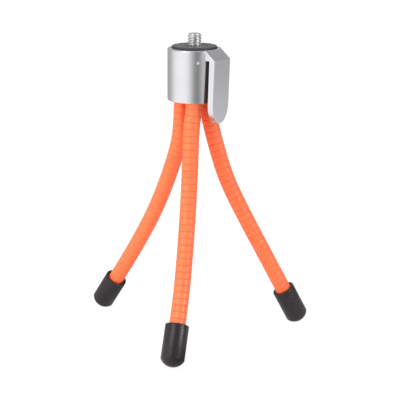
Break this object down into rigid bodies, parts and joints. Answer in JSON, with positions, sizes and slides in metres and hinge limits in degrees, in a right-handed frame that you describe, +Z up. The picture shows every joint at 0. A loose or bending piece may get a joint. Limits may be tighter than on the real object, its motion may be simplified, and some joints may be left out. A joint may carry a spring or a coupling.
{
  "type": "pocket camera tripod",
  "caption": "Pocket camera tripod with a silver clip-on head, a camera screw and bendable orange legs in black rubber feet.",
  "frame": {"origin": "on the axis of the head and the camera screw, in the plane of the rubber pad that the camera sits on", "axes": "+Z up along the camera screw, out of the head; +X out to the pocket clip; the legs leave the head 120 degrees apart: seen from above, the front leg is 51 degrees clockwise of the clip, the right leg is 69 degrees anticlockwise and the left leg is on the far side"},
  "size_m": [0.0992, 0.0922, 0.147],
  "materials": {
    "head_metal": "satin silver, fine turned",
    "screw_steel": "bright machined",
    "core_steel": "drawn wire",
    "black_rubber": "matte",
    "orange_sleeve": "satin, ring-grooved"
  },
  "bodies": {
    "head": {"head_casting": "head_metal", "camera_screw": "screw_steel", "screw_lock_pin": "screw_steel", "top_pad": "black_rubber", "left_leg_sleeve_1": "orange_sleeve", "left_leg_wire_1": "core_steel", "front_leg_sleeve_1": "orange_sleeve", "front_leg_wire_1": "core_steel", "right_leg_sleeve_1": "orange_sleeve", "right_leg_wire_1": "core_steel"},
    "left_leg_stretch_1": {"left_leg_sleeve_2": "orange_sleeve", "left_leg_wire_2": "core_steel"},
    "left_leg_stretch_2": {"left_leg_sleeve_3": "orange_sleeve", "left_leg_wire_3": "core_steel"},
    "left_leg_stretch_3": {"left_leg_sleeve_4": "orange_sleeve", "left_leg_wire_4": "core_steel"},
    "left_leg_stretch_4": {"left_leg_sleeve_5": "orange_sleeve", "left_leg_wire_5": "core_steel"},
    "left_leg_stretch_5": {"left_leg_sleeve_6": "orange_sleeve", "left_leg_wire_6": "core_steel"},
    "left_leg_stretch_6": {"left_leg_sleeve_7": "orange_sleeve", "left_leg_wire_7": "core_steel", "left_leg_foot_cap": "black_rubber"},
    "front_leg_stretch_1": {"front_leg_sleeve_2": "orange_sleeve", "front_leg_wire_2": "core_steel"},
    "front_leg_stretch_2": {"front_leg_sleeve_3": "orange_sleeve", "front_leg_wire_3": "core_steel"},
    "front_leg_stretch_3": {"front_leg_sleeve_4": "orange_sleeve", "front_leg_wire_4": "core_steel"},
    "front_leg_stretch_4": {"front_leg_sleeve_5": "orange_sleeve", "front_leg_wire_5": "core_steel"},
    "front_leg_stretch_5": {"front_leg_sleeve_6": "orange_sleeve", "front_leg_wire_6": "core_steel"},
    "front_leg_stretch_6": {"front_leg_sleeve_7": "orange_sleeve", "front_leg_wire_7": "core_steel", "front_leg_foot_cap": "black_rubber"},
    "right_leg_stretch_1": {"right_leg_sleeve_2": "orange_sleeve", "right_leg_wire_2": "core_steel"},
    "right_leg_stretch_2": {"right_leg_sleeve_3": "orange_sleeve", "right_leg_wire_3": "core_steel"},
    "right_leg_stretch_3": {"right_leg_sleeve_4": "orange_sleeve", "right_leg_wire_4": "core_steel"},
    "right_leg_stretch_4": {"right_leg_sleeve_5": "orange_sleeve", "right_leg_wire_5": "core_steel"},
    "right_leg_stretch_5": {"right_leg_sleeve_6": "orange_sleeve", "right_leg_wire_6": "core_steel"},
    "right_leg_stretch_6": {"right_leg_sleeve_7": "orange_sleeve", "right_leg_wire_7": "core_steel", "right_leg_foot_cap": "black_rubber"}
  },
  "joints": [
    {"name": "left_leg_bend_1", "type": "hinge", "parent": "head", "child": "left_leg_stretch_1", "pos_m": [-0.00652, -0.00103, -0.0284], "axis": [0.5245, 0.8514, 0], "range_deg": [-7.97, 32.03]},
    {"name": "left_leg_sideways", "type": "hinge", "parent": "left_leg_stretch_1", "child": "left_leg_stretch_2", "pos_m": [-0.00765, -0.00033, -0.03791], "axis": [-0.9861, -0.1263, 0.1083], "range_deg": [-40, 30]},
    {"name": "left_leg_bend_2", "type": "hinge", "parent": "left_leg_stretch_2", "child": "left_leg_stretch_3", "pos_m": [-0.00868, -0.00047, -0.04745], "axis": [-0.1271, 0.9919, 0], "range_deg": [-12.73, 27.27]},
    {"name": "left_leg_bend_3", "type": "hinge", "parent": "left_leg_stretch_3", "child": "left_leg_stretch_4", "pos_m": [-0.01487, -0.00126, -0.06561], "axis": [-0.1271, 0.9919, 0], "range_deg": [-5.01, 34.99]},
    {"name": "left_leg_bend_4", "type": "hinge", "parent": "left_leg_stretch_4", "child": "left_leg_stretch_5", "pos_m": [-0.02389, -0.00241, -0.08608], "axis": [-0.1271, 0.9919, 0], "range_deg": [-6.32, 33.68]},
    {"name": "left_leg_bend_5", "type": "hinge", "parent": "left_leg_stretch_5", "child": "left_leg_stretch_6", "pos_m": [-0.0367, -0.00405, -0.10819], "axis": [-0.1271, 0.9919, 0], "range_deg": [-2.71, 37.29]},
    {"name": "front_leg_bend_1", "type": "hinge", "parent": "head", "child": "front_leg_stretch_1", "pos_m": [0.00415, -0.00513, -0.0284], "axis": [-0.9935, 0.1137, 0], "range_deg": [-9.6, 30.4]},
    {"name": "front_leg_sideways", "type": "hinge", "parent": "front_leg_stretch_1", "child": "front_leg_stretch_2", "pos_m": [0.00397, -0.00672, -0.03787], "axis": [0.4511, -0.8815, 0.1395], "range_deg": [-40.3, 29.7]},
    {"name": "front_leg_bend_2", "type": "hinge", "parent": "front_leg_stretch_2", "child": "front_leg_stretch_3", "pos_m": [0.00458, -0.00791, -0.04737], "axis": [-0.8902, -0.4555, 0], "range_deg": [0, 40]},
    {"name": "front_leg_bend_3", "type": "hinge", "parent": "front_leg_stretch_3", "child": "front_leg_stretch_4", "pos_m": [0.0058, -0.0103, -0.06638], "axis": [-0.8902, -0.4555, 0], "range_deg": [-6.61, 33.39]},
    {"name": "front_leg_bend_4", "type": "hinge", "parent": "front_leg_stretch_4", "child": "front_leg_stretch_5", "pos_m": [0.00838, -0.01533, -0.08806], "axis": [-0.8902, -0.4555, 0], "range_deg": [-5.91, 34.09]},
    {"name": "front_leg_bend_5", "type": "hinge", "parent": "front_leg_stretch_5", "child": "front_leg_stretch_6", "pos_m": [0.01247, -0.02333, -0.11203], "axis": [-0.8902, -0.4555, 0], "range_deg": [-15.64, 24.36]},
    {"name": "right_leg_bend_1", "type": "hinge", "parent": "head", "child": "right_leg_stretch_1", "pos_m": [0.00237, 0.00616, -0.0284], "axis": [0.9215, -0.3884, 0], "range_deg": [-14.93, 25.07]},
    {"name": "right_leg_sideways", "type": "hinge", "parent": "right_leg_stretch_1", "child": "right_leg_stretch_2", "pos_m": [0.00333, 0.00844, -0.03768], "axis": [0.6463, 0.7228, 0.2446], "range_deg": [-30.2, 39.8]},
    {"name": "right_leg_bend_2", "type": "hinge", "parent": "right_leg_stretch_2", "child": "right_leg_stretch_3", "pos_m": [0.00489, 0.01019, -0.04698], "axis": [0.7455, -0.6665, 0], "range_deg": [-2.69, 37.31]},
    {"name": "right_leg_bend_3", "type": "hinge", "parent": "right_leg_stretch_3", "child": "right_leg_stretch_4", "pos_m": [0.0086, 0.01434, -0.06536], "axis": [0.7455, -0.6665, 0], "range_deg": [-9.67, 30.33]},
    {"name": "right_leg_bend_4", "type": "hinge", "parent": "right_leg_stretch_4", "child": "right_leg_stretch_5", "pos_m": [0.01527, 0.0218, -0.0854], "axis": [0.7455, -0.6665, 0], "range_deg": [-1.3, 38.7]},
    {"name": "right_leg_bend_5", "type": "hinge", "parent": "right_leg_stretch_5", "child": "right_leg_stretch_6", "pos_m": [0.02323, 0.0307, -0.10804], "axis": [0.7455, -0.6665, 0], "range_deg": [0, 40]}
  ]
}
